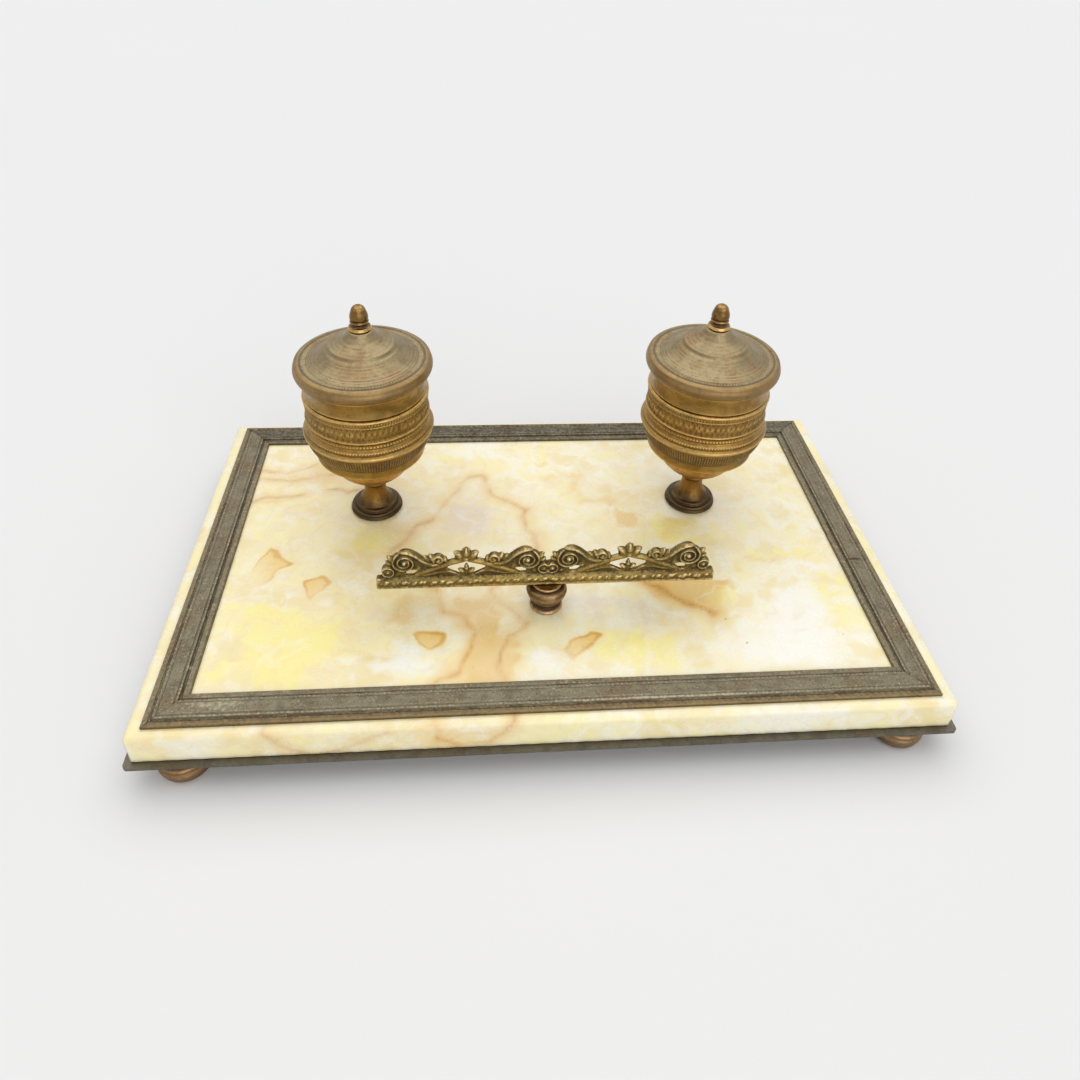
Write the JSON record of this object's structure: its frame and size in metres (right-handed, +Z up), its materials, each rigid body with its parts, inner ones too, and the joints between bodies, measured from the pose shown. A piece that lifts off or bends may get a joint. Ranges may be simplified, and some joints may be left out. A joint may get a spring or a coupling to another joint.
{
  "type": "desk inkstand",
  "caption": "Framed onyx slab on bun feet with lidded urn-shaped ink pots and a pierced scroll pen rest on a turned stem.",
  "frame": {"origin": "on the desk under the middle of the slab, centre of the underside of the bounding box", "axes": "+X to the right along the length of the slab, +Y to the back where the ink urns stand, +Z up"},
  "size_m": [0.2736, 0.1696, 0.1172],
  "materials": {
    "onyx": "polished cream onyx with amber veins",
    "olive_bronze": "olive-grey patina, rubbed on the edges",
    "copper_brass": "coppery, darkened below",
    "brown_brass": "turned, dark brown patina",
    "gilt_brass": "turned and milled, worn gilding",
    "lid_brass": "turned, grey-olive film over brass",
    "white_glaze": "white glaze",
    "dark_bronze": "cast, nearly black patina with rubbed high spots",
    "plain_brass": "plain brass"
  },
  "bodies": {
    "base": {"onyx_slab": "onyx", "base_plate": "olive_bronze", "frame_rail_front": "olive_bronze", "frame_rail_back": "olive_bronze", "frame_rail_left": "olive_bronze", "frame_rail_right": "olive_bronze", "tie_rods": "plain_brass", "foot_front_left": "copper_brass", "foot_front_right": "copper_brass", "foot_back_left": "copper_brass", "foot_back_right": "copper_brass", "left_urn_foot": "brown_brass", "left_urn_cup": "gilt_brass", "left_urn_screw": "plain_brass", "left_urn_washer": "plain_brass", "left_urn_nut": "plain_brass", "right_urn_foot": "brown_brass", "right_urn_cup": "gilt_brass", "right_urn_screw": "plain_brass", "right_urn_washer": "plain_brass", "right_urn_nut": "plain_brass", "pen_rest_stem": "brown_brass", "pen_rest_gallery": "dark_bronze", "pen_rest_stud": "plain_brass", "pen_rest_washer": "plain_brass", "pen_rest_nut": "plain_brass"},
    "left_liner": {"left_ink_liner": "white_glaze"},
    "left_lid": {"left_lid": "lid_brass", "left_finial": "gilt_brass", "left_finial_nut": "plain_brass"},
    "right_liner": {"right_ink_liner": "white_glaze"},
    "right_lid": {"right_lid": "lid_brass", "right_finial": "gilt_brass", "right_finial_nut": "plain_brass"}
  },
  "joints": [
    {"name": "left_liner_lift", "type": "slide", "parent": "base", "child": "left_liner", "axis": [0, 0, 1], "range_m": [0, 0.045]},
    {"name": "left_lid_lift", "type": "slide", "parent": "left_liner", "child": "left_lid", "axis": [0, 0, 1], "range_m": [0, 0.05]},
    {"name": "right_liner_lift", "type": "slide", "parent": "base", "child": "right_liner", "axis": [0, 0, 1], "range_m": [0, 0.045]},
    {"name": "right_lid_lift", "type": "slide", "parent": "right_liner", "child": "right_lid", "axis": [0, 0, 1], "range_m": [0, 0.05]}
  ]
}
